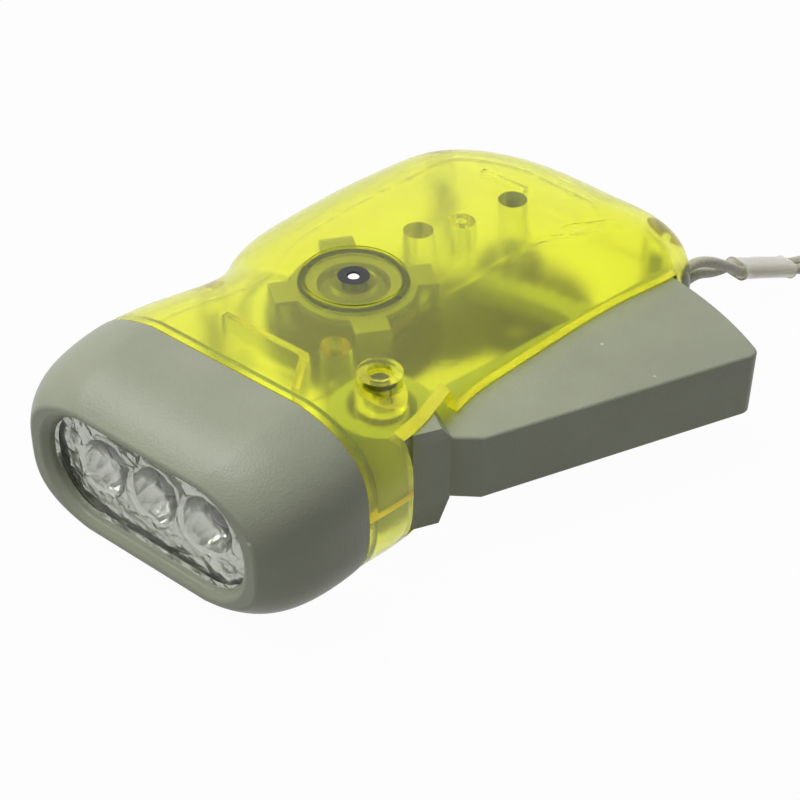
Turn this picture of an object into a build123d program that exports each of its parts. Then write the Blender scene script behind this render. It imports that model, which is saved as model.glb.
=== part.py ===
from build123d import *
import os
from math import acos, asin, cos, degrees, hypot, pi, radians, sin, sqrt, tan

# Hand press dynamo torch, lying on its flat side. Millimetres.
# +X is the way the light shines, +Y is the side of the squeeze lever, +Z is up.
# The origin is on the table, under the axis of the generator. Heights inside the
# model are counted from the parting plane, and place() lifts them by HALF_THICKNESS.

# ---- casing
HALF_THICKNESS = 15.0
HEAD_HALF_WIDTH = 27.5
WALL = 1.8
SEAM_X = 29.0
ROUNDING = 13.0
CROWN_STEPS = [0.0, 0.027, 0.077, 0.17, 0.31, 0.5, 0.73, 1.0]
LEVEL_TOLERANCE = 1e-4
ROUNDING_POWER = 3.1
COLLAR_LENGTH = 4.0
COLLAR_WALL = 1.4
TONGUE_ROOT = 2.5
CASE_FIT = 0.15

# ---- head
HEAD_FRONT_X = 47.3
# how far along the head each section is, and how much narrower and lower it is there
HEAD_TAPER = [(0.0, 0.0, 0.0), (0.3, 0.1, 0.1), (0.56, 0.8, 0.6), (0.76, 2.0, 1.5), (0.9, 3.5, 2.7),
              (1.0, 5.2, 4.1)]
HEAD_CAVITY_WIDTH = 23.4
HEAD_CAVITY_HEIGHT = 11.6
WINDOW_LENGTH = 38.6
WINDOW_HEIGHT = 18.3
WINDOW_CORNER = 8.5
WINDOW_FLARE = 1.0
LENS_FLANGE = 1.1
LENS_FLANGE_THICKNESS = 1.2
LENS_RECESS = 1.8
LENS_FACE_STEP = 1.3
LENS_BUMP_RADIUS = 4.6
LENS_BUMP_RISE = 1.3
LED_PITCH = 9.98
REFLECTOR_FLANGE = 1.3
CUP_MOUTH_RADIUS = 4.5
CUP_DEPTH = 5.4
CUP_WALL = 0.8
LED_RADIUS = 2.5
LED_RIM = 0.4
LED_RIM_THICKNESS = 1.0
LED_TIP_GAP = 1.2
BOARD_THICKNESS = 1.6
BOARD_LENGTH = 33.0
BOARD_HEIGHT = 14.0
BOARD_PEG_Y = 14.6
PEG_RADIUS = 0.9
LEAD_RADIUS = 0.3
LEAD_WIRE_RADIUS = 0.5
LEAD_WIRE_STEP = 1.4
LEAD_SPACING = 2.54
LEAD_STUB = 0.8

# ---- squeeze lever
PIVOT_X = 16.5
PIVOT_Y = 18.8
PIVOT_PIN_RADIUS = 1.5
HUB_RADIUS = 7.4
HUB_HALF_HEIGHT = 9.0
BLADE_HALF_HEIGHT = 5.75
BLADE_WALL = 1.8
BLADE_PLATE = 1.4
BLADE_TIP_RADIUS = 61.0
LEVER_STROKE = 18.0
LEVER_CLEARANCE = 0.35
SLOT_FRONT_X = 20.5
KNUCKLE_SLOT_REAR_X = 7.2
RACK_ARM_WIDTH = 3.3
RACK_BOTTOM = -1.4
RACK_TOP = 2.0
SPRING_WIRE = 0.7
SPRING_RADIUS = 3.7
SPRING_TURNS = 5.7
SPRING_PITCH = 1.25
SPRING_POCKET_RADIUS = 5.0
SPRING_POCKET_FLOOR = 0.6

# ---- gear train: tooth counts and modules
RACK_TEETH = 119
RACK_PINION_TEETH = 12
RACK_MODULE = 0.8
DRIVE_WHEEL_TEETH = 36
IDLER_PINION_TEETH = 12
DRIVE_MODULE = 0.75
IDLER_WHEEL_TEETH = 45
ROTOR_PINION_TEETH = 12
ROTOR_MODULE = 0.6
PRESSURE_ANGLE = 25.0
ADDENDUM = 0.8
DEDENDUM = 1.05
BACKLASH = 0.12
RACK_PINION_DIRECTION = 195.3
AXLE_RADIUS = 1.0
RUNNING_GAP = 0.04
GEAR_HUB_RADIUS = 2.4
DRIVE_WHEEL_BOTTOM = -8.4
DRIVE_WHEEL_TOP = -7.0
IDLER_WHEEL_BOTTOM = -3.9
IDLER_WHEEL_TOP = -2.7
MESH_OVERHANG = 0.2
END_FLOAT = 0.3

# ---- generator
FLYWHEEL_RADIUS = 13.7
FLYWHEEL_BOTTOM = 1.8
FLYWHEEL_TOP = 5.8
FLYWHEEL_WEB_RADIUS = 10.0
FLYWHEEL_WEB_STEP = 1.0
MAGNET_RADIUS = 5.2
MAGNET_BOTTOM = 6.4
STATOR_TOP = 12.6
STATOR_BOTTOM = 6.9
STATOR_SHEET = 0.7
STATOR_REACH = 12.7
STATOR_ANGLE = 53.0
YOKE_WIDTH = 5.4
CLAW_WIDTH = 3.0
CLAW_GAP = 0.5
BOBBIN_WALL = 0.5
BOBBIN_RADIUS = 10.0
WINDING_INSET = 0.5
WINDING_EDGE = BOBBIN_RADIUS - WINDING_INSET
BUSH_RADIUS = 2.5
BUSH_FLANGE = 0.6
BUSH_WALL = 1.2
RING_WALL_RADIUS = 8.0
RING_WALL = 1.2
STAKE_RADIUS = 0.5

# ---- posts, axles and screws of the casing
POST_RADIUS = 2.4
PILOT_RADIUS = 0.8
SCREW_CLEARANCE_RADIUS = 1.05
SCREW_HEAD_GAP = 0.2
SCREW_HEAD_RADIUS = 1.9
SCREW_HEAD_HEIGHT = 1.3
SCREW_GRIP = 6.0
SCREW_SHELF = 4.0
SCREW_POINTS = [(14.6, 8.7), (13.6, -17.2), (-47.2, 25.0), (-40.0, -14.6)]
BLIND_POST = (-23.6, 2.6)
BLIND_POST_RADIUS = 2.2
TAIL_PIP = (-46.4, 7.4)
TAIL_PIP_RADIUS = 1.7
PIP_DEPTH = 1.2
RIB = 1.2
RIB_DEPTH = 4.0
PIVOT_DOME_RADIUS = 3.4
PIVOT_DOME_RISE = 0.5
PIVOT_DIMPLE_RADIUS = 1.9
PIVOT_DIMPLE_DEPTH = 0.3
PIN_SOCKET = 0.4
PIN_BOSS_WALL = 2.2
HUB_GAP = 0.2
AXLE_SOCKET = 3.8
RING_GROOVE = 0.25
SCREW_CHAMFER = 0.4
CROSS_REACH = 1.1
CROSS_HALF_WIDTH = 0.25
CROSS_DEPTH = 0.6
# above the casing, where the cuts that open through its top may end
CUT_TOP = 20.0

# ---- wrist cord
CORD_RADIUS = 1.0
STRAND_STEP = 2.6
COIL_LOBE_RADIUS = 4.4
COIL_LEAD = 4.0
COIL_SAMPLES = 24
CORD_EXIT = (-49.8, 28.9)
CORD_EXIT_HEIGHT = 0.9
ANCHOR_LENGTH = 3.0
ANCHOR_WIDTH = 2.4
ANCHOR_HEIGHT = 5.4
SLEEVE_WALL = 0.3
SLEEVE_STEP = 2.15
SLEEVE_FIT = 0.12

PIVOT = (PIVOT_X, PIVOT_Y)
INNER_HALF = HALF_THICKNESS - WALL


# ---- small helpers
def place(shape):
    """Lift a shape from the parting plane to its height above the table."""
    return Pos(0, 0, HALF_THICKNESS) * shape


def disc(centre, radius, bottom, top):
    """An upright cylinder between two heights."""
    low = (Align.CENTER, Align.CENTER, Align.MIN)
    return Pos(centre[0], centre[1], bottom) * Cylinder(radius, top - bottom, align=low)


def tube(centre, outer, inner, bottom, top):
    """An upright ring between two heights."""
    return disc(centre, outer, bottom, top) - disc(centre, inner, bottom - 1, top + 1)


def block(low, high):
    """A box from its lowest corner to its highest."""
    size = [high[i] - low[i] for i in range(3)]
    middle = [(high[i] + low[i]) / 2 for i in range(3)]
    return Pos(*middle) * Box(*size)


def polar(centre, radius, angle):
    """A point at an angle in degrees round a centre."""
    turn = radians(angle)
    return (centre[0] + radius * cos(turn), centre[1] + radius * sin(turn))


def prism(points, bottom, top):
    """An upright prism on a polygon."""
    face = make_face(Polyline(*points, close=True))
    return extrude(Pos(0, 0, bottom) * face, top - bottom)


def flipped(shape):
    """The same shape on the other side of the parting plane."""
    return mirror(shape, about=Plane.XY)


# ---- the casing's pillow shape
# Each pair holds a point of the widest outline and the way in from it towards the flat top.
OUTLINE = [
    ((62.0, 27.5), (0, -1)), ((44.0, 27.5), (0, -1)), ((29.0, 27.5), (0, -1)),
    ((20.5, 28.5), (-0.05, -1)), ((12.5, 27.6), (-0.05, -1)), ((5.0, 26.0), (-0.05, -1)),
    ((-6.0, 26.3), (-0.05, -1)), ((-19.0, 27.5), (0, -1)), ((-33.0, 29.5), (0.15, -1)),
    ((-42.0, 31.6), (0.38, -1.05)), ((-47.6, 31.6), (0.62, -1.1)), ((-51.1, 28.0), (0.8, -0.95)),
    ((-52.4, 20.0), (0.87, -0.62)), ((-53.1, 9.0), (0.9, -0.3)), ((-52.8, -1.0), (0.9, 0)),
    ((-51.0, -9.0), (0.88, 0.3)), ((-47.2, -15.8), (0.75, 0.55)), ((-41.6, -20.6), (0.5, 0.8)),
    ((-34.0, -23.1), (0.25, 0.95)), ((-22.0, -25.0), (0.08, 1)), ((-10.0, -25.8), (0, 1)),
    ((-1.0, -25.5), (0, 1)), ((3.2, -24.3), (0, 1)), ((7.0, -22.8), (0, 1)),
    ((12.0, -23.0), (0, 1)), ((18.5, -25.0), (0, 1)), ((24.5, -26.7), (0, 1)),
    ((31.0, -27.5), (0, 1)), ((44.0, -27.5), (0, 1)), ((62.0, -27.5), (0, 1)),
]
SCALE_Y = HEAD_HALF_WIDTH / 27.5


def outline_at(inset):
    """The casing's outline, moved in from its widest line."""
    points = []
    for (x, y), (way_x, way_y) in OUTLINE:
        points.append((x + way_x * inset, y * SCALE_Y + way_y * inset))
    return points


def height_at(inset, half_height):
    """How high the rounded side has risen at a distance in from the widest line."""
    share = (HEAD_HALF_WIDTH - inset) / HEAD_HALF_WIDTH
    return half_height * (1 - share ** ROUNDING_POWER) ** (1 / ROUNDING_POWER)


def crown(skin, half_height):
    """Pairs of the way in from the widest line and the height there, from edge to flat top."""
    tallest = height_at(ROUNDING, 1.0)
    pairs = []
    for share in CROWN_STEPS:
        inset = share * ROUNDING
        pairs.append((skin + share * (ROUNDING - skin), half_height * height_at(inset, 1.0) / tallest))
    return pairs


def pillow_half(skin):
    """The upper half of the casing's outside, moved in by skin all round."""
    sections = []
    for inset, rise in crown(skin, HALF_THICKNESS - skin):
        curve = Spline(*[(x, y, rise) for x, y in outline_at(inset)], periodic=True)
        sections.append(make_face(Wire([curve])))
    return loft(sections)


def hollow_half():
    """The upper half of the casing as an open shell, closed by a flat rim at the parting plane."""
    faces = []
    rims = []
    for skin in (0.0, WALL):
        solid = pillow_half(skin)
        base = solid.faces().sort_by(Axis.Z)[0]
        rims.append(base.outer_wire())
        faces += [face for face in solid.faces() if abs(face.center().Z) > LEVEL_TOLERANCE]
    faces.append(Face(rims[0], [rims[1]]))
    return Solid(Shell(faces)) & block((-80, -60, -1), (SEAM_X, 60, 30))


def head_section(x, half_width, half_height, skin=0.0):
    """The rounded section across the head, as wide and high as told, moved in by skin."""
    scale = half_width / HEAD_HALF_WIDTH
    side = [(half_width - inset * scale, rise) for inset, rise in crown(skin, half_height - skin)]
    down = [(y, -z) for y, z in reversed(side)]
    right = [(x, y, z) for y, z in down[:-1] + side]
    left = [(x, -y, z) for x_, y, z in reversed(right)]
    edges = [Spline(*right), Line(right[-1], left[0]), Spline(*left), Line(left[-1], right[0])]
    return make_face(Wire(edges))


# ---- gears
def involute_point(base, radius, tooth_angle, side):
    """A point of a tooth's flank at a radius, in degrees from the tooth's middle."""
    roll = acos(min(1.0, base / radius))
    return tooth_angle - side * degrees(tan(roll) - roll)


def tooth_edges(teeth, module, middle, tip_radius, root_radius):
    """The flanks and tip of one tooth, and its first and last points."""
    pitch = teeth * module / 2
    pressure = radians(PRESSURE_ANGLE)
    base = pitch * cos(pressure)
    half = 90.0 / teeth - degrees(BACKLASH / 2 / pitch) / 2
    at_base = half + degrees(tan(pressure) - pressure)
    start = max(base, root_radius)
    radii = [start, (start + tip_radius) / 2, tip_radius]
    rising = [polar((0, 0), r, middle - involute_point(base, r, at_base, 1)) for r in radii]
    falling = [polar((0, 0), r, middle + involute_point(base, r, at_base, 1)) for r in radii]
    top = polar((0, 0), tip_radius, middle)
    edges = []
    first = rising[0]
    last = falling[0]
    if root_radius < base:
        first = polar((0, 0), root_radius, middle - at_base)
        last = polar((0, 0), root_radius, middle + at_base)
        edges.append(Line(first, rising[0]))
    edges.append(ThreePointArc(rising[0], rising[1], rising[2]))
    edges.append(ThreePointArc(rising[2], top, falling[2]))
    edges.append(ThreePointArc(falling[2], falling[1], falling[0]))
    if root_radius < base:
        edges.append(Line(falling[0], last))
    return edges, first, last


def gear(centre, teeth, module, first_tooth, bottom, top):
    """A spur gear with a tooth's middle at the angle first_tooth."""
    pitch = teeth * module / 2
    tip_radius = pitch + ADDENDUM * module
    root_radius = pitch - DEDENDUM * module
    step = 360.0 / teeth
    edges = []
    ends = []
    for i in range(teeth):
        middle = first_tooth + i * step
        flanks, first, last = tooth_edges(teeth, module, middle, tip_radius, root_radius)
        edges += flanks
        ends.append((first, last, middle))
    for i in range(teeth):
        floor = polar((0, 0), root_radius, ends[i][2] + step / 2)
        edges.append(ThreePointArc(ends[i][1], floor, ends[(i + 1) % teeth][0]))
    profile = make_face(Wire(edges))
    return Pos(centre[0], centre[1], bottom) * extrude(profile, top - bottom)


def direction(start, end):
    """The angle in degrees from one point to another."""
    angle = degrees(acos((end[0] - start[0]) / hypot(end[0] - start[0], end[1] - start[1])))
    return angle if end[1] >= start[1] else -angle


ROTOR = (0.0, 0.0)
RACK_RADIUS = RACK_TEETH * RACK_MODULE / 2
DRIVE_AXIS = polar(PIVOT, RACK_RADIUS + RACK_PINION_TEETH * RACK_MODULE / 2, RACK_PINION_DIRECTION)
DRIVE_CENTRES = (DRIVE_WHEEL_TEETH + IDLER_PINION_TEETH) * DRIVE_MODULE / 2
ROTOR_CENTRES = (IDLER_WHEEL_TEETH + ROTOR_PINION_TEETH) * ROTOR_MODULE / 2


def idler_axis():
    """Where the idler meshes with the drive wheel and with the rotor's pinion at once."""
    reach = hypot(*DRIVE_AXIS)
    along = (ROTOR_CENTRES ** 2 - DRIVE_CENTRES ** 2 + reach ** 2) / (2 * reach)
    aside = sqrt(ROTOR_CENTRES ** 2 - along ** 2)
    ux, uy = DRIVE_AXIS[0] / reach, DRIVE_AXIS[1] / reach
    return (ux * along - uy * aside, uy * along + ux * aside)


IDLER_AXIS = idler_axis()


def make_rack_pinion():
    """The pinion that the lever's rack turns, with the long hub that carries the drive wheel."""
    facing = RACK_PINION_DIRECTION + 180 + 180.0 / RACK_PINION_TEETH
    teeth = gear(DRIVE_AXIS, RACK_PINION_TEETH, RACK_MODULE, facing,
                 RACK_BOTTOM - MESH_OVERHANG, RACK_TOP + MESH_OVERHANG)
    hub = disc(DRIVE_AXIS, GEAR_HUB_RADIUS, DRIVE_WHEEL_BOTTOM - END_FLOAT / 2, RACK_TOP)
    return teeth + hub - disc(DRIVE_AXIS, AXLE_RADIUS + RUNNING_GAP, -20, 20)


def make_drive_wheel():
    """The large wheel fixed to the rack pinion's hub, with lightening holes."""
    to_idler = direction(DRIVE_AXIS, IDLER_AXIS)
    wheel = gear(DRIVE_AXIS, DRIVE_WHEEL_TEETH, DRIVE_MODULE, to_idler,
                 DRIVE_WHEEL_BOTTOM, DRIVE_WHEEL_TOP)
    wheel -= disc(DRIVE_AXIS, GEAR_HUB_RADIUS + RUNNING_GAP / 2, -20, 20)
    middle = (GEAR_HUB_RADIUS + DRIVE_WHEEL_TEETH * DRIVE_MODULE / 2) / 2
    for i in range(4):
        hole = polar(DRIVE_AXIS, middle, 45 + 90 * i)
        wheel -= disc(hole, middle / 4, -20, 20)
    return wheel


def make_idler_gear():
    """The compound gear between the drive wheel and the rotor."""
    to_drive = direction(IDLER_AXIS, DRIVE_AXIS)
    pinion = gear(IDLER_AXIS, IDLER_PINION_TEETH, DRIVE_MODULE, to_drive + 180.0 / IDLER_PINION_TEETH,
                  DRIVE_WHEEL_BOTTOM - MESH_OVERHANG, DRIVE_WHEEL_TOP + MESH_OVERHANG)
    wheel = gear(IDLER_AXIS, IDLER_WHEEL_TEETH, ROTOR_MODULE, direction(IDLER_AXIS, ROTOR),
                 IDLER_WHEEL_BOTTOM, IDLER_WHEEL_TOP)
    hub = disc(IDLER_AXIS, GEAR_HUB_RADIUS, DRIVE_WHEEL_TOP, IDLER_WHEEL_TOP)
    return pinion + hub + wheel - disc(IDLER_AXIS, AXLE_RADIUS + RUNNING_GAP, -20, 20)


def make_rotor_pinion():
    """The pinion pressed on the rotor shaft under the flywheel."""
    to_idler = direction(ROTOR, IDLER_AXIS)
    pinion = gear(ROTOR, ROTOR_PINION_TEETH, ROTOR_MODULE, to_idler + 180.0 / ROTOR_PINION_TEETH,
                  IDLER_WHEEL_BOTTOM - MESH_OVERHANG, IDLER_WHEEL_TOP + MESH_OVERHANG)
    spacer = disc(ROTOR, GEAR_HUB_RADIUS, IDLER_WHEEL_TOP + MESH_OVERHANG, FLYWHEEL_BOTTOM)
    return pinion + spacer - disc(ROTOR, AXLE_RADIUS, -20, 20)


def make_flywheel():
    """The heavy disc that keeps the generator turning, thicker at its rim."""
    wheel = disc(ROTOR, FLYWHEEL_RADIUS, FLYWHEEL_BOTTOM, FLYWHEEL_TOP)
    wheel = chamfer(wheel.edges().filter_by(GeomType.CIRCLE), 0.4)
    wheel -= tube(ROTOR, FLYWHEEL_WEB_RADIUS, GEAR_HUB_RADIUS + 1,
                  FLYWHEEL_TOP - FLYWHEEL_WEB_STEP, FLYWHEEL_TOP + 5)
    return wheel - disc(ROTOR, AXLE_RADIUS, -20, 20)


def make_magnet():
    """The round magnet on the rotor shaft, inside the claws, with its plastic seat below."""
    top = STATOR_TOP - STATOR_SHEET - CLAW_GAP
    magnet = disc(ROTOR, MAGNET_RADIUS, MAGNET_BOTTOM, top)
    return magnet - disc(ROTOR, AXLE_RADIUS, -20, 20)


def make_magnet_seat():
    """The spacer between flywheel and magnet."""
    return tube(ROTOR, GEAR_HUB_RADIUS, AXLE_RADIUS, FLYWHEEL_TOP, MAGNET_BOTTOM)


SHAFT_BOTTOM = -INNER_HALF + 0.6
SHAFT_TOP = HALF_THICKNESS - 0.25


def make_rotor_shaft():
    """The steel shaft, whose upper end shows in the bush on top."""
    shaft = disc(ROTOR, AXLE_RADIUS, SHAFT_BOTTOM, SHAFT_TOP)
    return chamfer(shaft.edges().filter_by(GeomType.CIRCLE), 0.15)


# ---- stator
def yoke_arm(angle, reach, width, bottom, top):
    """A flat arm from the middle out to a reach, at an angle."""
    arm = block((0, -width / 2, bottom), (reach, width / 2, top))
    return Rot(0, 0, angle) * arm


def make_upper_yoke():
    """The upper stator plate: four arms folded down outside the coil and four claws inside it."""
    low_top = STATOR_BOTTOM + STATOR_SHEET
    sheet = STATOR_TOP - STATOR_SHEET
    plate = disc(ROTOR, BOBBIN_RADIUS - 0.4, sheet, STATOR_TOP)
    claw_in = MAGNET_RADIUS + CLAW_GAP
    for i in range(4):
        angle = STATOR_ANGLE + 90 * i
        plate += yoke_arm(angle, STATOR_REACH, YOKE_WIDTH, sheet, STATOR_TOP)
        leg = block((STATOR_REACH - STATOR_SHEET, -YOKE_WIDTH / 2, STATOR_BOTTOM),
                    (STATOR_REACH, YOKE_WIDTH / 2, STATOR_TOP))
        plate += Rot(0, 0, angle) * leg
    plate -= disc(ROTOR, claw_in, -20, 20)
    for i in range(4):
        claw = block((claw_in, -CLAW_WIDTH / 2, low_top + CLAW_GAP),
                     (claw_in + STATOR_SHEET, CLAW_WIDTH / 2, STATOR_TOP))
        plate += Rot(0, 0, STATOR_ANGLE + 90 * i) * claw
    for angle in stake_angles():
        stake = polar(ROTOR, RING_WALL_RADIUS, angle)
        plate -= disc(stake, STAKE_RADIUS + RUNNING_GAP, sheet - 1, STATOR_TOP + 1)
    return plate


def make_lower_yoke():
    """The lower stator plate inside the four folded arms, with four claws between the others."""
    claw_in = MAGNET_RADIUS + CLAW_GAP
    rim = STATOR_REACH - STATOR_SHEET
    low_top = STATOR_BOTTOM + STATOR_SHEET
    plate = tube(ROTOR, BOBBIN_RADIUS, claw_in, STATOR_BOTTOM, low_top)
    for i in range(4):
        tab = block((BOBBIN_RADIUS - 1, -YOKE_WIDTH / 2, STATOR_BOTTOM), (rim, YOKE_WIDTH / 2, low_top))
        plate += Rot(0, 0, STATOR_ANGLE + 90 * i) * tab
        claw = block((claw_in, -CLAW_WIDTH / 2, STATOR_BOTTOM),
                     (claw_in + STATOR_SHEET, CLAW_WIDTH / 2, STATOR_TOP - STATOR_SHEET - CLAW_GAP))
        plate += Rot(0, 0, STATOR_ANGLE + 45 + 90 * i) * claw
    return plate


BOBBIN_BORE = hypot(MAGNET_RADIUS + CLAW_GAP + STATOR_SHEET, CLAW_WIDTH / 2) + 0.15


def make_bobbin():
    """The spool that the coil is wound on."""
    bottom = STATOR_BOTTOM + STATOR_SHEET
    top = STATOR_TOP - STATOR_SHEET
    spool = tube(ROTOR, BOBBIN_BORE + BOBBIN_WALL, BOBBIN_BORE, bottom, top)
    spool += tube(ROTOR, BOBBIN_RADIUS, BOBBIN_BORE, bottom, bottom + BOBBIN_WALL)
    return spool + tube(ROTOR, BOBBIN_RADIUS, BOBBIN_BORE, top - BOBBIN_WALL, top)


def make_coil_winding():
    """The copper winding, which fills the bobbin."""
    bottom = STATOR_BOTTOM + STATOR_SHEET + BOBBIN_WALL
    top = STATOR_TOP - STATOR_SHEET - BOBBIN_WALL
    return tube(ROTOR, BOBBIN_RADIUS - WINDING_INSET, BOBBIN_BORE + BOBBIN_WALL, bottom, top)


def make_top_bush():
    """The dark bush in the upper casing that carries the rotor shaft."""
    bush = disc(ROTOR, BUSH_RADIUS, BUSH_BOTTOM, HALF_THICKNESS)
    return bush - disc(ROTOR, AXLE_RADIUS + RUNNING_GAP, -20, 20)


BOTTOM_BOSS_TOP = DRIVE_WHEEL_BOTTOM - MESH_OVERHANG - END_FLOAT
BUSH_BOTTOM = STATOR_TOP - STATOR_SHEET + 0.2


def stake_angles():
    """The angles of the four pegs that hold the upper yoke to the casing."""
    return [STATOR_ANGLE + 45 + 90 * i for i in range(4)]


def make_bottom_bush():
    """The bush in the lower casing under the rotor shaft."""
    bush = disc(ROTOR, BUSH_RADIUS, -INNER_HALF, BOTTOM_BOSS_TOP + BUSH_FLANGE)
    return bush - disc(ROTOR, AXLE_RADIUS + RUNNING_GAP, SHAFT_BOTTOM - 0.2, 20)


# ---- squeeze lever
FOLD = (9.2, 32.4)
BLADE_ROOT = (12.0, 28.6)
KNUCKLE_FRONT = (18.4, 26.6)
KNUCKLE_REAR = (14.6, 28.7)
KNUCKLE_INNER = (9.4, 21.0)
TIP_CORNER_ANGLE = 146.4
TIP_INNER_ANGLE = 171.2
BLADE_INNER = (6.7, 19.7)


def blade_outline(shrink):
    """The blade's plan outline, its near face and tip moved in by shrink."""
    tip = BLADE_TIP_RADIUS - shrink
    slope = hypot(polar(PIVOT, tip, TIP_CORNER_ANGLE)[0] - FOLD[0],
                  polar(PIVOT, tip, TIP_CORNER_ANGLE)[1] - FOLD[1])
    corner = polar(PIVOT, tip, TIP_CORNER_ANGLE + degrees(shrink / tip))
    nx = (polar(PIVOT, tip, TIP_CORNER_ANGLE)[1] - FOLD[1]) / slope
    ny = (FOLD[0] - polar(PIVOT, tip, TIP_CORNER_ANGLE)[0]) / slope
    fold = (FOLD[0] - nx * shrink, FOLD[1] - ny * shrink)
    root = (BLADE_ROOT[0] - shrink, BLADE_ROOT[1] - shrink)
    middle = polar(PIVOT, tip, (TIP_CORNER_ANGLE + TIP_INNER_ANGLE) / 2)
    inner = polar(PIVOT, tip, TIP_INNER_ANGLE)
    return [root, fold, corner, middle, inner]


def blade_solid(shrink, inner_overrun, bottom, top):
    """The blade's plan shape between two heights."""
    root, fold, corner, middle, inner = blade_outline(shrink)
    low = (BLADE_INNER[0], BLADE_INNER[1] - inner_overrun)
    end = (inner[0], inner[1] - inner_overrun)
    edges = [Line(root, fold), Line(fold, corner), ThreePointArc(corner, middle, inner)]
    if inner_overrun:
        edges += [Line(inner, end), Line(end, low)]
    else:
        edges += [Line(inner, low)]
    edges += [Line(low, root)]
    return extrude(Pos(0, 0, bottom) * make_face(Wire(edges)), top - bottom)


def rack_arm():
    """The curved arm inside the blade, which carries the rack's teeth."""
    step = 360.0 / RACK_TEETH
    tip_radius = RACK_RADIUS + ADDENDUM * RACK_MODULE
    root_radius = RACK_RADIUS - DEDENDUM * RACK_MODULE
    before = int(LEVER_STROKE / step) + 2
    middles = [RACK_PINION_DIRECTION + k * step for k in range(-before, 3)]
    edges = []
    ends = []
    for middle in middles:
        flanks, first, last = tooth_edges(RACK_TEETH, RACK_MODULE, middle, tip_radius, root_radius)
        edges += flanks
        ends.append((first, last, middle))
    for i in range(len(middles) - 1):
        floor = polar((0, 0), root_radius, ends[i][2] + step / 2)
        edges.append(ThreePointArc(ends[i][1], floor, ends[i + 1][0]))
    back_radius = root_radius - RACK_ARM_WIDTH
    wall_angle = TIP_CORNER_ANGLE - 2.0
    first_angle = middles[0] - step / 2
    last_angle = middles[-1] + step
    outer_start = polar((0, 0), root_radius, wall_angle)
    outer_middle = polar((0, 0), root_radius, (wall_angle + first_angle) / 2)
    edges.append(ThreePointArc(outer_start, outer_middle, ends[0][0]))
    end_outer = polar((0, 0), root_radius, last_angle)
    floor = polar((0, 0), root_radius, last_angle - step / 4)
    edges.append(ThreePointArc(ends[-1][1], floor, end_outer))
    end_inner = polar((0, 0), back_radius, last_angle)
    start_inner = polar((0, 0), back_radius, wall_angle)
    back_middle = polar((0, 0), back_radius, (wall_angle + last_angle) / 2)
    edges.append(Line(end_outer, end_inner))
    edges.append(ThreePointArc(end_inner, back_middle, start_inner))
    edges.append(Line(start_inner, outer_start))
    arm = extrude(Pos(0, 0, RACK_BOTTOM) * make_face(Wire(edges)), RACK_TOP - RACK_BOTTOM)
    return Pos(PIVOT_X, PIVOT_Y, 0) * arm


def knuckle_outline(rear, inner):
    """The knuckle's plan outline, from the front of its near face round to the pivot."""
    return [KNUCKLE_FRONT, rear, inner, polar(PIVOT, HUB_RADIUS, 225), PIVOT]


def knuckle_step():
    """The slope from the knuckle's full height down to the blade's."""
    low = Polyline(*knuckle_outline(BLADE_ROOT, BLADE_INNER), close=True)
    high = Polyline(*knuckle_outline(KNUCKLE_REAR, KNUCKLE_INNER), close=True)
    low_face = Pos(0, 0, BLADE_HALF_HEIGHT) * make_face(low)
    high_face = Pos(0, 0, HUB_HALF_HEIGHT) * make_face(high)
    return loft([low_face, high_face], ruled=True)


def make_squeeze_lever():
    """The lever: a hub on the pivot, a knuckle, a hollow blade and the rack inside it."""
    blade = blade_solid(0, 0, -BLADE_HALF_HEIGHT, BLADE_HALF_HEIGHT)
    upright = blade.edges().filter_by(Axis.Z)
    tip_corner = upright.sort_by(Axis.Y)[-1]
    blade = fillet(tip_corner, 2.0)
    outer_edges = blade.edges().filter_by(lambda e: abs(abs(e.center().Z) - BLADE_HALF_HEIGHT) < 1e-3)
    rim = [e for e in outer_edges if e.center().Y > 29.5]
    blade = fillet(rim, 0.5)
    inside = BLADE_HALF_HEIGHT - BLADE_PLATE
    arm = rack_arm() & blade_solid(0.4, 60, -BLADE_HALF_HEIGHT, BLADE_HALF_HEIGHT)
    hollow = blade_solid(BLADE_WALL, 12, -inside, inside)
    hollow -= disc(PIVOT, HUB_RADIUS + BLADE_WALL, -20, 20)
    blade -= hollow
    knuckle = prism(knuckle_outline(BLADE_ROOT, BLADE_INNER), -BLADE_HALF_HEIGHT, BLADE_HALF_HEIGHT)
    knuckle += disc(PIVOT, HUB_RADIUS, -HUB_HALF_HEIGHT, HUB_HALF_HEIGHT)
    step = knuckle_step()
    knuckle = knuckle + step + flipped(step)
    lever = blade + knuckle + arm
    lever -= disc(PIVOT, PIVOT_PIN_RADIUS + RUNNING_GAP, -20, 20)
    lever -= disc(PIVOT, SPRING_POCKET_RADIUS, SPRING_POCKET_FLOOR, 20)
    return lever


def make_return_spring():
    """The torsion spring round the pivot pin, inside the lever's hub."""
    helix = Helix(SPRING_PITCH, SPRING_PITCH * SPRING_TURNS, SPRING_RADIUS)
    start = helix @ 0
    section = Plane(origin=start, z_dir=helix % 0) * Circle(SPRING_WIRE / 2)
    coil = sweep(section, path=helix)
    return Pos(PIVOT_X, PIVOT_Y, SPRING_POCKET_FLOOR + SPRING_WIRE / 2 + END_FLOAT) * coil


def make_pivot_pin():
    """The pin through lever and both casings."""
    return disc(PIVOT, PIVOT_PIN_RADIUS, -INNER_HALF - PIN_SOCKET, INNER_HALF + PIN_SOCKET)


# ---- casing halves
def blade_sweep():
    """The space that the blade needs in the casing's side."""
    half = BLADE_HALF_HEIGHT + LEVER_CLEARANCE
    reach = disc(PIVOT, BLADE_TIP_RADIUS + LEVER_CLEARANCE, -half, half)
    side = block((-60, PIVOT_Y - 2, -half), (SLOT_FRONT_X, 60, half))
    return reach & side


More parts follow.
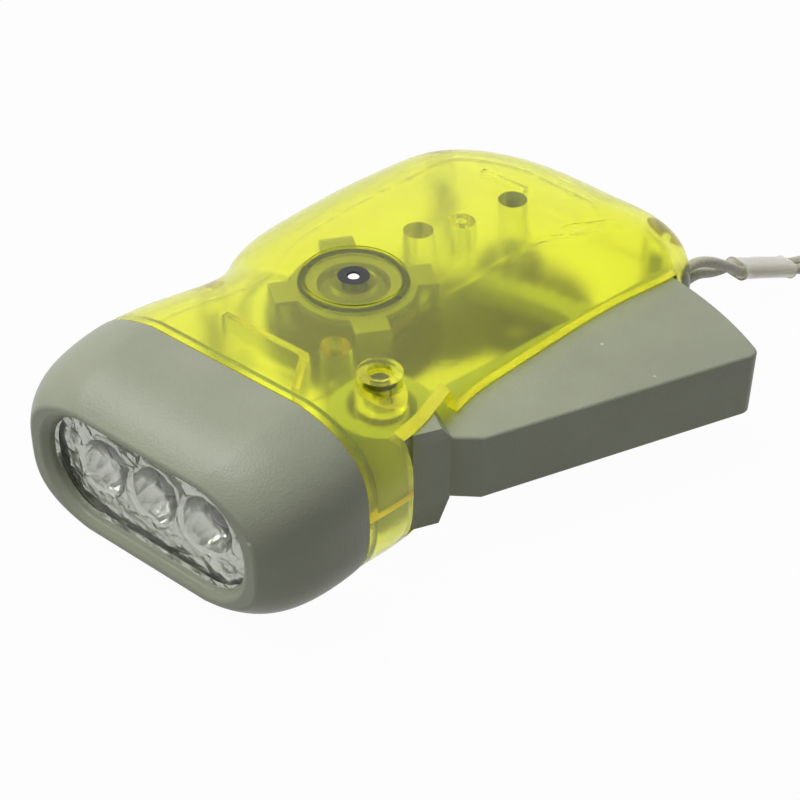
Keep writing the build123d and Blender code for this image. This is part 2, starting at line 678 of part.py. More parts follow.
def knuckle_sweep():
    """The taller space for the knuckle, at the front of the slot."""
    half = HUB_HALF_HEIGHT + LEVER_CLEARANCE
    return block((KNUCKLE_SLOT_REAR_X, PIVOT_Y - 2, -half), (SLOT_FRONT_X, 60, half))


def strap_slot():
    """The hole in the tail's wall where the wrist cord comes out."""
    x, y = CORD_EXIT
    middle = CORD_EXIT_HEIGHT
    return block((x - 4, y - ANCHOR_WIDTH / 2, middle - ANCHOR_HEIGHT / 2),
                 (x + ANCHOR_LENGTH, y + ANCHOR_WIDTH / 2, middle + ANCHOR_HEIGHT / 2))


def seam_ring(start, end, outer, inner):
    """A ring along the head's axis that follows the casing's section between two skins."""
    length = end - start
    outside = extrude(head_section(start, HEAD_HALF_WIDTH, HALF_THICKNESS, outer), length, dir=(1, 0, 0))
    inside = extrude(head_section(start, HEAD_HALF_WIDTH, HALF_THICKNESS, inner), length, dir=(1, 0, 0))
    return outside - inside


def tongue():
    """The thin tongue of the casing that goes into the head, and its root inside the casing."""
    inner = WALL + CASE_FIT + COLLAR_WALL
    root = seam_ring(SEAM_X - TONGUE_ROOT, SEAM_X, WALL / 2, inner)
    return root + seam_ring(SEAM_X, SEAM_X + COLLAR_LENGTH, WALL + CASE_FIT, inner)


def casing_ribs():
    """The cross wall behind the lamp board, with its bent end, as seen through the top."""
    low = INNER_HALF - RIB_DEPTH
    across = block((18.4, -9.0, low), (18.4 + RIB, 7.0, INNER_HALF + 0.5))
    bent = prism([(18.4, 7.0), (19.6, 6.2), (26.2, 10.4), (25.5, 11.4)], low, INNER_HALF + 0.3)
    tail = block((-38.6, -4.2, INNER_HALF - PIP_DEPTH), (-38.6 + RIB, 4.6, INNER_HALF + 0.5))
    return [across, bent, tail]


def casing_bosses(upper):
    """The posts, bosses and ribs that stand on the inside of one half, as if it were the upper."""
    top = HALF_THICKNESS
    bosses = [disc(PIVOT, PIVOT_PIN_RADIUS + PIN_BOSS_WALL, HUB_HALF_HEIGHT + HUB_GAP, top)]
    bosses += [disc(point, POST_RADIUS, 0, top) for point in SCREW_POINTS]
    bosses.append(disc(TAIL_PIP, TAIL_PIP_RADIUS, INNER_HALF - PIP_DEPTH, top))
    bosses += casing_ribs()
    if upper:
        bosses.append(disc(BLIND_POST, BLIND_POST_RADIUS, BLADE_HALF_HEIGHT + END_FLOAT, top))
        bosses.append(disc(DRIVE_AXIS, GEAR_HUB_RADIUS, RACK_TOP + END_FLOAT, top))
        bosses.append(disc(IDLER_AXIS, GEAR_HUB_RADIUS, IDLER_WHEEL_TOP + END_FLOAT, top))
        bosses.append(tube(ROTOR, RING_WALL_RADIUS + RING_WALL / 2, RING_WALL_RADIUS - RING_WALL / 2,
                           STATOR_TOP, top))
        bosses.append(disc(ROTOR, BUSH_RADIUS + BUSH_WALL, BUSH_BOTTOM, top))
        for angle in stake_angles():
            stake = polar(ROTOR, RING_WALL_RADIUS, angle)
            bosses.append(disc(stake, STAKE_RADIUS, STATOR_TOP - STATOR_SHEET, top))
    else:
        for axis in (DRIVE_AXIS, IDLER_AXIS):
            bosses.append(disc(axis, GEAR_HUB_RADIUS, -BOTTOM_BOSS_TOP, top))
        bosses.append(disc(ROTOR, BUSH_RADIUS + BUSH_WALL, -BOTTOM_BOSS_TOP, top))
    middle_of_wall = pillow_half(WALL / 2)
    return [boss & middle_of_wall for boss in bosses]


def make_casing(upper):
    """One half of the casing. The lower half is made as an upper one and turned over."""
    half = hollow_half() + casing_bosses(upper)
    half += tongue() & block((-80, -60, 0), (80, 60, 30))
    cuts = [blade_sweep(), knuckle_sweep(), disc(PIVOT, PIVOT_PIN_RADIUS, 0, INNER_HALF + PIN_SOCKET)]
    cuts.append(disc(PIVOT, HUB_RADIUS + LEVER_CLEARANCE, -HUB_HALF_HEIGHT, HUB_HALF_HEIGHT + HUB_GAP))
    if upper:
        half += disc(PIVOT, PIVOT_DOME_RADIUS, INNER_HALF, HALF_THICKNESS + PIVOT_DOME_RISE)
        cuts.append(disc(PIVOT, PIVOT_DIMPLE_RADIUS, HALF_THICKNESS - PIVOT_DIMPLE_DEPTH, CUT_TOP))
        cuts.append(tube(ROTOR, RING_WALL_RADIUS + RING_GROOVE, RING_WALL_RADIUS - RING_GROOVE,
                         HALF_THICKNESS - RING_GROOVE, HALF_THICKNESS + 1))
        cuts.append(disc(ROTOR, BUSH_RADIUS, 0, CUT_TOP))
        cuts.append(disc(DRIVE_AXIS, AXLE_RADIUS, RACK_TOP, RACK_TOP + AXLE_SOCKET))
        cuts.append(disc(IDLER_AXIS, AXLE_RADIUS, IDLER_WHEEL_TOP, IDLER_WHEEL_TOP + AXLE_SOCKET))
        cuts += [disc(point, PILOT_RADIUS, -1, SCREW_GRIP + 1) for point in SCREW_POINTS]
        cuts.append(disc(BLIND_POST, PILOT_RADIUS, 0, INNER_HALF))
        cuts.append(strap_slot())
        return place(half - cuts)
    cuts += [disc(axis, AXLE_RADIUS, 0, INNER_HALF) for axis in (DRIVE_AXIS, IDLER_AXIS)]
    cuts.append(disc(ROTOR, BUSH_RADIUS, 0, INNER_HALF))
    for point in SCREW_POINTS:
        cuts.append(disc(point, SCREW_CLEARANCE_RADIUS, -1, CUT_TOP))
        cuts.append(disc(point, SCREW_HEAD_RADIUS + SCREW_HEAD_GAP, SCREW_SHELF, CUT_TOP))
    cuts.append(flipped(strap_slot()))
    return place(flipped(half - cuts))


def make_case_screws():
    """Four self-tapping screws, their heads deep in the lower casing's posts."""
    screws = []
    for point in SCREW_POINTS:
        shank = disc(point, PILOT_RADIUS, -SCREW_SHELF, SCREW_GRIP)
        head = disc(point, SCREW_HEAD_RADIUS, -SCREW_SHELF - SCREW_HEAD_HEIGHT, -SCREW_SHELF)
        head = chamfer(head.edges().filter_by(GeomType.CIRCLE).sort_by(Axis.Z)[0], SCREW_CHAMFER)
        x, y = point
        floor = -SCREW_SHELF - SCREW_HEAD_HEIGHT + CROSS_DEPTH
        cross = block((x - CROSS_REACH, y - CROSS_HALF_WIDTH, -CUT_TOP),
                      (x + CROSS_REACH, y + CROSS_HALF_WIDTH, floor))
        cross += block((x - CROSS_HALF_WIDTH, y - CROSS_REACH, -CUT_TOP),
                       (x + CROSS_HALF_WIDTH, y + CROSS_REACH, floor))
        screws.append(place(shank + head - cross))
    return Compound(children=screws)


def make_axle(axis, bottom, top):
    """A steel axle held in both casings."""
    return place(disc(axis, AXLE_RADIUS, bottom, top))


# ---- head
def stadium(x, length, height, corner):
    """A rounded rectangle across the head, at a place along it."""
    plane = Plane(origin=(x, 0, 0), x_dir=(0, 1, 0), z_dir=(1, 0, 0))
    return plane * RectangleRounded(length, height, min(corner, height / 2 - 0.05))


def head_shape():
    """The head's outside: sections that shrink and round off towards the front."""
    length = HEAD_FRONT_X - SEAM_X
    sections = []
    for share, narrower, lower in HEAD_TAPER:
        x = SEAM_X + share * length
        sections.append(head_section(x, HEAD_HALF_WIDTH - narrower, HALF_THICKNESS - lower))
    return loft(sections)


LENS_FRONT = HEAD_FRONT_X - LENS_RECESS
LENS_FLANGE_FRONT = LENS_FRONT - LENS_FACE_STEP
LENS_BACK = LENS_FLANGE_FRONT - LENS_FLANGE_THICKNESS
REFLECTOR_BACK = LENS_BACK - REFLECTOR_FLANGE


def make_head_bezel():
    """The grey head: a thick front wall with the window, hollow behind."""
    mouth = head_section(SEAM_X - 1, HEAD_HALF_WIDTH, HALF_THICKNESS, WALL)
    cavity = head_section(SEAM_X, HEAD_CAVITY_WIDTH, HEAD_CAVITY_HEIGHT)
    hollow = [extrude(mouth, COLLAR_LENGTH + 1.5, dir=(1, 0, 0)),
              extrude(cavity, REFLECTOR_BACK - SEAM_X, dir=(1, 0, 0))]
    flange = 2 * LENS_FLANGE + 2 * CASE_FIT
    pocket = extrude(stadium(REFLECTOR_BACK - 0.5, WINDOW_LENGTH + flange, WINDOW_HEIGHT + flange,
                             WINDOW_CORNER + flange / 2), LENS_FLANGE_FRONT - REFLECTOR_BACK + 0.5)
    window = extrude(stadium(LENS_BACK, WINDOW_LENGTH, WINDOW_HEIGHT, WINDOW_CORNER),
                     HEAD_FRONT_X - LENS_BACK + 1)
    flare = loft([stadium(HEAD_FRONT_X - WINDOW_FLARE, WINDOW_LENGTH, WINDOW_HEIGHT, WINDOW_CORNER),
                  stadium(HEAD_FRONT_X + 0.01, WINDOW_LENGTH + 2 * WINDOW_FLARE,
                          WINDOW_HEIGHT + 2 * WINDOW_FLARE, WINDOW_CORNER + WINDOW_FLARE)])
    return place(head_shape() - hollow - [pocket, window, flare])


def lamp_places():
    """Where the three lamps sit across the head."""
    return [-LED_PITCH, 0.0, LED_PITCH]


def make_front_lens():
    """The clear window with its flange and three raised round lenses."""
    flange = extrude(stadium(LENS_BACK, WINDOW_LENGTH + 2 * LENS_FLANGE, WINDOW_HEIGHT + 2 * LENS_FLANGE,
                             WINDOW_CORNER + LENS_FLANGE), LENS_FLANGE_THICKNESS)
    fit = 2 * CASE_FIT
    lens = flange + extrude(stadium(LENS_BACK, WINDOW_LENGTH - fit, WINDOW_HEIGHT - fit,
                                    WINDOW_CORNER - CASE_FIT), LENS_FRONT - LENS_BACK)
    ball = (LENS_BUMP_RADIUS ** 2 + LENS_BUMP_RISE ** 2) / (2 * LENS_BUMP_RISE)
    foot = degrees(asin(1 - LENS_BUMP_RISE / ball))
    for y in lamp_places():
        dome = Sphere(ball, arc_size1=foot, align=None)
        lens += Pos(LENS_FRONT + LENS_BUMP_RISE - ball, y, 0) * Rot(0, 90, 0) * dome
    return place(lens)


def along_head(y, z, radius, start, end):
    """A cylinder along the head's axis."""
    low = (Align.CENTER, Align.CENTER, Align.MIN)
    return Pos(start, y, z) * Rot(0, 90, 0) * Cylinder(radius, end - start, align=low)


CUP_BACK = REFLECTOR_BACK + REFLECTOR_FLANGE - CUP_DEPTH
LED_RIM_FRONT = CUP_BACK - 0.2
LED_TIP = LENS_BACK - LED_TIP_GAP
BOARD_FRONT = LED_RIM_FRONT - LED_RIM_THICKNESS
BOARD_BACK = BOARD_FRONT - BOARD_THICKNESS


def cup_cone(front_radius, back_radius, front, back, y):
    """A tapered round along the head's axis."""
    plane_front = Plane(origin=(front, y, 0), x_dir=(0, 1, 0), z_dir=(1, 0, 0))
    plane_back = Plane(origin=(back, y, 0), x_dir=(0, 1, 0), z_dir=(1, 0, 0))
    return loft([plane_back * Circle(back_radius), plane_front * Circle(front_radius)])


def make_reflector():
    """The bright plate behind the window, with a cup round each lamp and two rear pegs."""
    plate = extrude(stadium(REFLECTOR_BACK, WINDOW_LENGTH + 2 * LENS_FLANGE,
                            WINDOW_HEIGHT + 2 * LENS_FLANGE, WINDOW_CORNER + LENS_FLANGE), REFLECTOR_FLANGE)
    front = LENS_BACK
    hole = LED_RADIUS + 0.25
    for y in lamp_places():
        plate += cup_cone(CUP_MOUTH_RADIUS + CUP_WALL, hole + CUP_WALL, front, CUP_BACK, y)
    for side in (-1, 1):
        plate += along_head(side * BOARD_PEG_Y, 0, PEG_RADIUS + 0.7, BOARD_FRONT, REFLECTOR_BACK)
        plate += along_head(side * BOARD_PEG_Y, 0, PEG_RADIUS, BOARD_BACK - 0.5, BOARD_FRONT)
    for y in lamp_places():
        plate -= cup_cone(CUP_MOUTH_RADIUS, hole, front + 0.01, CUP_BACK - 0.01, y)
    return place(plate)


def make_led(y):
    """One 5 mm lamp: a domed clear body with a rim and two leads."""
    lamp = along_head(y, 0, LED_RADIUS, LED_RIM_FRONT - 0.2, LED_TIP - LED_RADIUS)
    lamp += Pos(LED_TIP - LED_RADIUS, y, 0) * Sphere(LED_RADIUS)
    lamp += along_head(y, 0, LED_RADIUS + LED_RIM, BOARD_FRONT, LED_RIM_FRONT)
    for side in (-1, 1):
        lamp += along_head(y, side * LEAD_SPACING / 2, LEAD_RADIUS, BOARD_BACK - LEAD_STUB, BOARD_FRONT + 0.1)
    return place(lamp)


def make_lamp_board():
    """The board behind the lamps, on the reflector's pegs."""
    board = extrude(stadium(BOARD_BACK, BOARD_LENGTH, BOARD_HEIGHT, 2.0), BOARD_THICKNESS)
    for y in lamp_places():
        for side in (-1, 1):
            board -= along_head(y, side * LEAD_SPACING / 2, LEAD_RADIUS + RUNNING_GAP,
                                BOARD_BACK - 1, BOARD_FRONT + 1)
    for side in (-1, 1):
        board -= along_head(side * BOARD_PEG_Y, 0, PEG_RADIUS + RUNNING_GAP, BOARD_BACK - 1, BOARD_FRONT + 1)
    return place(board)


# ---- lamp leads
def routed_tube(points, radius):
    """A round tube along straight runs joined by arcs as large as the runs allow."""
    spots = [Vector(*point) for point in points]
    radii = []
    for before, at, after in zip(spots, spots[1:], spots[2:]):
        turn = radians((at - before).get_angle(after - at))
        shorter = min((at - before).length, (after - at).length)
        radii.append(0.45 * shorter / tan(turn / 2))
    path = FilletPolyline(*points, radius=radii)
    section = Plane(origin=path @ 0, z_dir=path % 0) * Circle(radius)
    solid = sweep(section, path=path)
    print("tube: length", round(path.length, 1), "radii", [round(r, 1) for r in radii],
          "volume over section times length", round(solid.volume / (pi * radius ** 2 * path.length), 4))
    return solid


def make_lamp_lead(side):
    """One insulated lead from the lamp board, past the generator, up to the coil."""
    route = [(31.4, -8.0, -4.0), (27.0, -8.8, -4.8), (22.0, -11.6, -6.0), (16.8, -12.4, -6.2),
             (11.2, -14.8, -5.2), (6.4, -17.6, -2.0), (4.0, -18.4, 3.4), (3.0, -17.0, 8.0),
             (2.0, -13.4, 9.4), (1.6, -WINDING_EDGE, 9.4)]
    step = side * LEAD_WIRE_STEP / 2
    points = [(x + step, y, z + step) for x, y, z in route]
    return routed_tube([(BOARD_BACK, points[0][1], points[0][2])] + points, LEAD_WIRE_RADIUS)


# ---- wrist cord: heights here are counted from the table
# both strands leave the tail one above the other, and lie side by side from the sleeve on
CORD_UPPER_ROUTE = [(-49.8, 28.9, 17.2), (-53.4, 28.9, 17.2), (-57.4, 29.7, 15.7), (-61.4, 30.3, 13.1),
                    (-65.2, 30.3, 10.5)]
CORD_LOWER_ROUTE = [(-49.8, 28.9, 14.6), (-53.2, 28.9, 14.6), (-57.2, 28.7, 13.1), (-61.2, 28.3, 10.9),
                    (-65.3, 27.9, 9.1)]
SLEEVE_START = (-69.4, 28.9, 7.6)
SLEEVE_END = (-82.6, 31.8, 2.3)
CORD_FLOOR = CORD_RADIUS + 0.15
SLEEVE_HEADING = 167.6
FLOOR_BENDS = [(-88.2, 33.9, 157.0), (-93.6, 37.6, 144.0)]
COIL_ENTRY = (-100.4, 44.2)
COIL_HEADING = 136.0


def beside(x, y, heading, aside):
    """A plan point moved to the right of a heading."""
    return polar((x, y), aside, heading - 90)


def along_sleeve(share, aside, lift=0.0):
    """A point on a line beside the sleeve's axis."""
    x = SLEEVE_START[0] + share * (SLEEVE_END[0] - SLEEVE_START[0])
    y = SLEEVE_START[1] + share * (SLEEVE_END[1] - SLEEVE_START[1])
    z = SLEEVE_START[2] + share * (SLEEVE_END[2] - SLEEVE_START[2])
    return (*beside(x, y, SLEEVE_HEADING, aside), z + lift)


def cord_strand(route, side):
    """One strand from the tail, through the sleeve and along the table to the coil."""
    half = side * SLEEVE_STEP / 2
    spread = side * STRAND_STEP / 2
    points = list(route)
    points += [along_sleeve(-0.08, half), along_sleeve(0.5, half, 0.02), along_sleeve(1.08, half)]
    points += [(*beside(x, y, heading, spread), CORD_FLOOR) for x, y, heading in FLOOR_BENDS]
    last = beside(*COIL_ENTRY, COIL_HEADING, spread)
    points += [(*polar(last, -COIL_LEAD, COIL_HEADING), CORD_FLOOR), (*last, CORD_FLOOR)]
    return routed_tube(points, CORD_RADIUS)


def coil_arcs():
    """The coil's half turns, from the upper strand's end to the lower's.

    Each row has the side of the middle that its centre is on, its radius, and its own side."""
    near = 2 * COIL_LOBE_RADIUS
    step = STRAND_STEP
    return [(step / 2, near + 1.5 * step, 1), (-step / 2, near + 0.5 * step, -1),
            (COIL_LOBE_RADIUS, COIL_LOBE_RADIUS, 1), (-COIL_LOBE_RADIUS, COIL_LOBE_RADIUS, -1),
            (step / 2, near + 0.5 * step, 1), (-step / 2, near + 1.5 * step, -1),
            (step / 2, near + 2.5 * step, 1)]


def coil_place(across, ahead):
    """A plan point of the coil, counted from its middle."""
    middle = beside(*COIL_ENTRY, COIL_HEADING, 2 * COIL_LOBE_RADIUS + 2.5 * STRAND_STEP)
    x, y = beside(*middle, COIL_HEADING, -across)
    return polar((x, y), ahead, COIL_HEADING)


def make_cord_coil():
    """The put-away middle of the cord: both strands wound together, joined by an S in the middle."""
    edges = []
    across = coil_arcs()[0][0] + coil_arcs()[0][1]
    samples = []
    for centre, radius, side in coil_arcs():
        end = 2 * centre - across
        spots = [coil_place(across, 0), coil_place(centre, side * radius), coil_place(end, 0)]
        edges.append(ThreePointArc(*[(*spot, CORD_FLOOR) for spot in spots]))
        samples += [edges[-1] @ (i / COIL_SAMPLES) for i in range(COIL_SAMPLES)]
        across = end
    path = Wire(edges)
    section = Plane(origin=path @ 0, z_dir=path % 0) * Circle(CORD_RADIUS)
    coil = sweep(section, path=path)
    skip = COIL_SAMPLES // 2
    least = min((a - b).length for i, a in enumerate(samples) for b in samples[i + skip:])
    print("coil: length", round(path.length, 1), "least gap to itself", round(least - 2 * CORD_RADIUS, 2))
    return coil


def make_strap_sleeve():
    """The flat clear sleeve that holds the two strands together."""
    start = Vector(*SLEEVE_START)
    line = Vector(*SLEEVE_END) - start
    sideways = Vector(*beside(0, 0, SLEEVE_HEADING, 1), 0)
    plane = Plane(origin=start, x_dir=sideways, z_dir=line)
    width = SLEEVE_STEP + 2 * CORD_RADIUS + 2 * SLEEVE_FIT
    height = 2 * CORD_RADIUS + 2 * SLEEVE_FIT
    outer_height = height + 2 * SLEEVE_WALL
    outer = RectangleRounded(width + 2 * SLEEVE_WALL, outer_height, outer_height / 2 - 0.02)
    inner = RectangleRounded(width, height, height / 2 - 0.02)
    return extrude(plane * (outer - inner), line.length)


def make_strap_anchor():
    """The block behind the slot in the tail that holds both ends of the cord."""
    x, y = CORD_EXIT
    low = CORD_EXIT_HEIGHT - ANCHOR_HEIGHT / 2
    half = ANCHOR_WIDTH / 2
    anchor = block((x, y - half, low), (x + ANCHOR_LENGTH, y + half, low + ANCHOR_HEIGHT))
    return place(anchor)


# ---- output
def save(name, shape):
    """Write one named piece."""
    solids = shape.solids()
    body = solids[0] if len(solids) == 1 else Compound(children=list(solids))
    body.label = name
    export_step(body, f"parts/{name}.step")
    print(name, len(solids), round(sum(s.volume for s in solids), 1))


def main():
    os.makedirs("parts", exist_ok=True)
    save("upper_shell", make_casing(True))
    save("lower_shell", make_casing(False))
    save("head_bezel", make_head_bezel())
    save("front_lens", make_front_lens())
    save("reflector", make_reflector())
    for name, y in zip(("led_left", "led_centre", "led_right"), reversed(lamp_places())):
        save(name, make_led(y))
    save("lamp_board", make_lamp_board())
    save("squeeze_lever", place(make_squeeze_lever()))
    save("lever_pivot_pin", place(make_pivot_pin()))
    save("lever_return_spring", place(make_return_spring()))
    save("rack_pinion", place(make_rack_pinion()))
    save("drive_wheel", place(make_drive_wheel()))
    save("idler_gear", place(make_idler_gear()))
    save("drive_axle", make_axle(DRIVE_AXIS, -INNER_HALF, RACK_TOP + END_FLOAT + 3.5))
    save("idler_axle", make_axle(IDLER_AXIS, -INNER_HALF, IDLER_WHEEL_TOP + END_FLOAT + 3.5))
    save("rotor_pinion", place(make_rotor_pinion()))
    save("flywheel", place(make_flywheel()))
    save("magnet_seat", place(make_magnet_seat()))
    save("rotor_magnet", place(make_magnet()))
    save("rotor_shaft", place(make_rotor_shaft()))
    save("upper_yoke", place(make_upper_yoke()))
    save("lower_yoke", place(make_lower_yoke()))
    save("coil_bobbin", place(make_bobbin()))
    save("coil_winding", place(make_coil_winding()))
    save("top_bush", place(make_top_bush()))
    save("bottom_bush", place(make_bottom_bush()))
    save("case_screws", make_case_screws())
    for name, side in (("lamp_lead_left", -1), ("lamp_lead_right", 1)):
        save(name, place(make_lamp_lead(side)))
    save("strap_anchor", make_strap_anchor())
    save("strap_sleeve", make_strap_sleeve())
    save("wrist_cord_upper", cord_strand(CORD_UPPER_ROUTE, 1))
    save("wrist_cord_lower", cord_strand(CORD_LOWER_ROUTE, -1))
    save("wrist_cord_coil", make_cord_coil())


main()
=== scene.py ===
"""A hand squeezed dynamo torch: see-through yellow-green casing, grey head and lever, wrist cord."""

import math

import bmesh
import bpy
from mathutils import Matrix, Vector, noise


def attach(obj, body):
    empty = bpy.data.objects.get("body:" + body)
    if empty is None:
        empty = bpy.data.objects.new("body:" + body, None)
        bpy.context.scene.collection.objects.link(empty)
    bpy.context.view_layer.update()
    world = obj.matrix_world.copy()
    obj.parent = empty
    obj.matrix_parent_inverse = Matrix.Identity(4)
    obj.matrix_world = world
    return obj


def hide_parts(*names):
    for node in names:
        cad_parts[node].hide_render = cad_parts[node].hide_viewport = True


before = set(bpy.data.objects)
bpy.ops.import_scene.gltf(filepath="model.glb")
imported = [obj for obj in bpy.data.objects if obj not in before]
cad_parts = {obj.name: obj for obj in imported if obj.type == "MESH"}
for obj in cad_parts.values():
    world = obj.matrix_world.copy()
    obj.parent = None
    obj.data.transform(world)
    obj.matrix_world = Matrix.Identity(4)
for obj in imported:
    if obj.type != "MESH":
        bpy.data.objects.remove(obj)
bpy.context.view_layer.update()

MM = 0.001

# ---- camera: where it stands round the torch, in degrees, and what it looks at, in metres
CAMERA_AZIMUTH = 128.48
CAMERA_ELEVATION = 38.39
CAMERA_ROLL = 0.92
CAMERA_TARGET = Vector((1.442, 10.559, 12.0)) * MM
CAMERA_DISTANCE = 294.745 * MM
CAMERA_LENS = 85.5
SENSOR_WIDTH = 36
NEAR_CLIP = 0.01

# ---- wrist cord, the same route as the CAD tubes': millimetres and degrees, but its length in metres
CORD_RADIUS = 1.0
STRAND_STEP = 2.6
SLEEVE_STEP = 2.15
CORD_FLOOR = 1.15
CORD_UPPER_ROUTE = [(-49.8, 28.9, 17.2), (-53.4, 28.9, 17.2), (-57.4, 29.7, 15.7), (-61.4, 30.3, 13.1),
                    (-65.2, 30.3, 10.5)]
CORD_LOWER_ROUTE = [(-49.8, 28.9, 14.6), (-53.2, 28.9, 14.6), (-57.2, 28.7, 13.1), (-61.2, 28.3, 10.9),
                    (-65.3, 27.9, 9.1)]
SLEEVE_START = (-69.4, 28.9, 7.6)
SLEEVE_END = (-82.6, 31.8, 2.3)
SLEEVE_HEADING = 167.6
SLEEVE_RINGS = 16
SLEEVE_FLARE = 0.1
SLEEVE_LIFT = 0.06
SLEEVE_SMOOTH = 60.0
SLEEVE_OVERRUN = 0.08
STRAND_LIFT = 0.02
FLOOR_BENDS = [(-88.2, 33.9, 157.0), (-93.6, 37.6, 144.0)]
COIL_ENTRY = (-100.4, 44.2)
COIL_HEADING = 136.0
COIL_LEAD = 4.0
COIL_LOBE_RADIUS = 4.4
COIL_POINTS = 8
ROUTE_STEPS = 12
BRAID_ROUND = 20
BRAID_STEP = 0.28
BRAID_CARRIERS = 6
BRAID_PITCH = 7.0
BRAID_DEPTH = 0.16

# ---- reflector's foil
FOIL_GRID = 0.45
FOIL_CRUMPLE = 2.2
FOIL_DEPTH = 0.5
FOIL_FACETS = 0.14
FOIL_LEVEL = 0.4
FINE_CRUMPLE = 2.3
FINE_SHARE = 0.5

# ---- skins over the frame's nodes: weld in metres, angles in degrees
SKIN_WELD = 0.5e-6
SKIN_FLAT = 0.3
SKIN_SMOOTH = 32.0

# ---- rounded edges of the grey mouldings
BEZEL_EDGE = 0.4
LEVER_EDGE = 0.4
EDGE_ANGLE = 30.0
EDGE_STEPS = 3

# ---- the shell's cut edges, which get a painted glow
MID_HEIGHT = 15.0
SEAM_X = 29.0
CUT_FLAT = 0.95
CUT_NEAR = 0.15
CUT_HEIGHTS = [0.0, 6.1, 9.35]

# ---- colours, linear
GREY = (0.310, 0.330, 0.245, 1)
SHELL = (0.97, 0.99, 0.13, 1)
SHELL_FILM = (0.60, 0.64, 0.10, 1)
# painted glow: the shell's emission colour, a faint glow painted on the plastic
SHELL_PAINTED_GLOW = (0.72, 0.82, 0.01, 1)
SCUFF = (0.75, 0.75, 0.70, 1)
# painted glow: the cut edges' orange tones and emission paint the light that the plastic gathers and lets out
# at its edges
CUT = (0.90, 0.82, 0.02, 1)
CUT_DARK = (0.80, 0.66, 0.01, 1)
CUT_LIGHT = (0.92, 0.86, 0.03, 1)
CUT_PAINTED_GLOW = (0.95, 0.80, 0.0, 1)
WINDOW = (0.94, 0.95, 0.93, 1)
WINDOW_FILM = (0.95, 0.96, 0.96, 1)
RESIN = (0.66, 0.67, 0.63, 1)
RESIN_FILM = (0.93, 0.95, 0.97, 1)
FOIL = (0.50, 0.51, 0.46, 1)
BRAID = (0.60, 0.58, 0.46, 1)
SLEEVE = (0.90, 0.88, 0.80, 1)
STEEL = (0.62, 0.62, 0.60, 1)
GROUND_STEEL = (0.90, 0.90, 0.87, 1)
ZINC = (0.26, 0.26, 0.22, 1)
COPPER = (0.16, 0.06, 0.025, 1)
BLACK = (0.012, 0.012, 0.012, 1)
IRON = (0.04, 0.04, 0.04, 1)
MAGNET = (0.10, 0.10, 0.11, 1)
GEARS = (0.03, 0.03, 0.03, 1)
BOARD = (0.08, 0.25, 0.11, 1)
INSULATION = (0.70, 0.70, 0.66, 1)
FLOOR = (0.45, 0.45, 0.45, 1)
WHITE = (1, 1, 1, 1)

# ---- stage and light: how white the floor looks, the world's strength, the lamp in metres and watts
FLOOR_SIZE = 6
FLOOR_HEIGHT = -0.0001
FLOOR_SHARE = 0.97
WORLD_LIGHT = 0.21
KEY_PLACE = (0.10, -0.20, 0.52)
KEY_TARGET = (0, 0, 0.01)
KEY_SIZE = 0.35
KEY_POWER = 2.9


# ---- camera
def make_camera():
    """The camera at the photograph's angle."""
    around = math.radians(CAMERA_AZIMUTH)
    above = math.radians(CAMERA_ELEVATION)
    roll = math.radians(CAMERA_ROLL)
    back = Vector((math.sin(around) * math.cos(above), -math.cos(around) * math.cos(above), math.sin(above)))
    level = Vector((math.cos(around), math.sin(around), 0))
    upright = level.cross(-back)
    right = math.cos(roll) * level + math.sin(roll) * upright
    up = math.cos(roll) * upright - math.sin(roll) * level
    data = bpy.data.cameras.new("camera")
    data.lens = CAMERA_LENS
    data.sensor_width = SENSOR_WIDTH
    data.clip_start = NEAR_CLIP
    camera = bpy.data.objects.new("camera", data)
    bpy.context.scene.collection.objects.link(camera)
    camera.matrix_world = Matrix((right, up, back)).transposed().to_4x4()
    camera.matrix_world.translation = CAMERA_TARGET + back * CAMERA_DISTANCE
    bpy.context.scene.camera = camera


# ---- materials
def new_material(name, colour, roughness, **sockets):
    """A Principled material with its constant sockets set, and its node tree."""
    material = bpy.data.materials.new(name)
    material.use_nodes = True
    tree = material.node_tree
    shader = tree.nodes["Principled BSDF"]
    shader.inputs["Base Color"].default_value = colour
    shader.inputs["Roughness"].default_value = roughness
    for socket, value in sockets.items():
        shader.inputs[socket.replace("_", " ")].default_value = value
    return material, tree, shader


def object_noise(tree, scale, detail=3.0, roughness=0.5):
    """Noise in the object's own coordinates, so that it stays on the piece."""
    place = tree.nodes.new("ShaderNodeTexCoord")
    texture = tree.nodes.new("ShaderNodeTexNoise")
    texture.inputs["Scale"].default_value = scale
    texture.inputs["Detail"].default_value = detail
    texture.inputs["Roughness"].default_value = roughness
    tree.links.new(place.outputs["Object"], texture.inputs["Vector"])
    return texture


def add_bump(tree, shader, height, strength, distance):
    """Drives the shader's normal with a height."""
    bump = tree.nodes.new("ShaderNodeBump")
    bump.inputs["Strength"].default_value = strength
    bump.inputs["Distance"].default_value = distance
    tree.links.new(height, bump.inputs["Height"])
    tree.links.new(bump.outputs["Normal"], shader.inputs["Normal"])


def add_tone(tree, shader, value, dark, light, low=0.35, high=0.65):
    """Colours the base between two tones by a value."""
    ramp = tree.nodes.new("ShaderNodeValToRGB")
    ramp.color_ramp.elements[0].position = low
    ramp.color_ramp.elements[0].color = dark
    ramp.color_ramp.elements[1].position = high
    ramp.color_ramp.elements[1].color = light
    tree.links.new(value, ramp.inputs["Fac"])
    tree.links.new(ramp.outputs["Color"], shader.inputs["Base Color"])
    return ramp


def scaled(colour, factor):
    """A colour made lighter or darker."""
    return (colour[0] * factor, colour[1] * factor, colour[2] * factor, 1)


